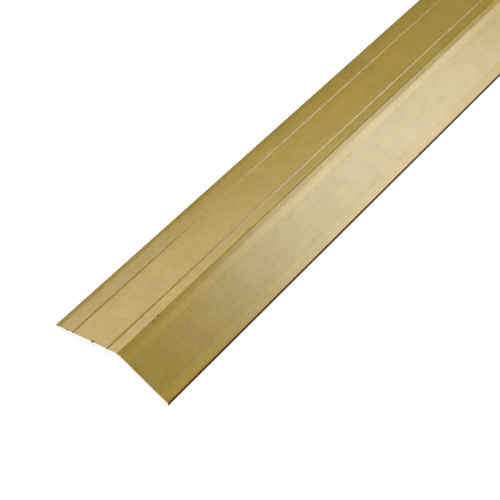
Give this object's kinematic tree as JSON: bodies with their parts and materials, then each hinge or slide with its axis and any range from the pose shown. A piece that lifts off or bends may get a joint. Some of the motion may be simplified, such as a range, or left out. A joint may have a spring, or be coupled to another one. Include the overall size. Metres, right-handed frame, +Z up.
{
  "type": "ramp threshold strip",
  "caption": "Long aluminium strip with a flat grooved flange and a downward ramp, stuck down with foam tape to bridge two floor heights.",
  "frame": {"origin": "centre of the strip's footprint, at the height of the lower floor where the ramp's toe rests", "axes": "+Y along the strip, +Z up, +X across the strip from the flange's outer edge to the ramp's toe"},
  "size_m": [0.04, 0.9, 0.0114],
  "materials": {
    "gold_anodised": "satin gold anodised, with fine lengthwise extrusion lines; bare sawn aluminium at both ends",
    "foam_tape": "closed-cell foam",
    "liner_paper": "siliconised kraft paper"
  },
  "bodies": {
    "root": {"ramp_profile": "gold_anodised", "adhesive_tape": "foam_tape", "release_liner": "liner_paper"}
  },
  "joints": []
}
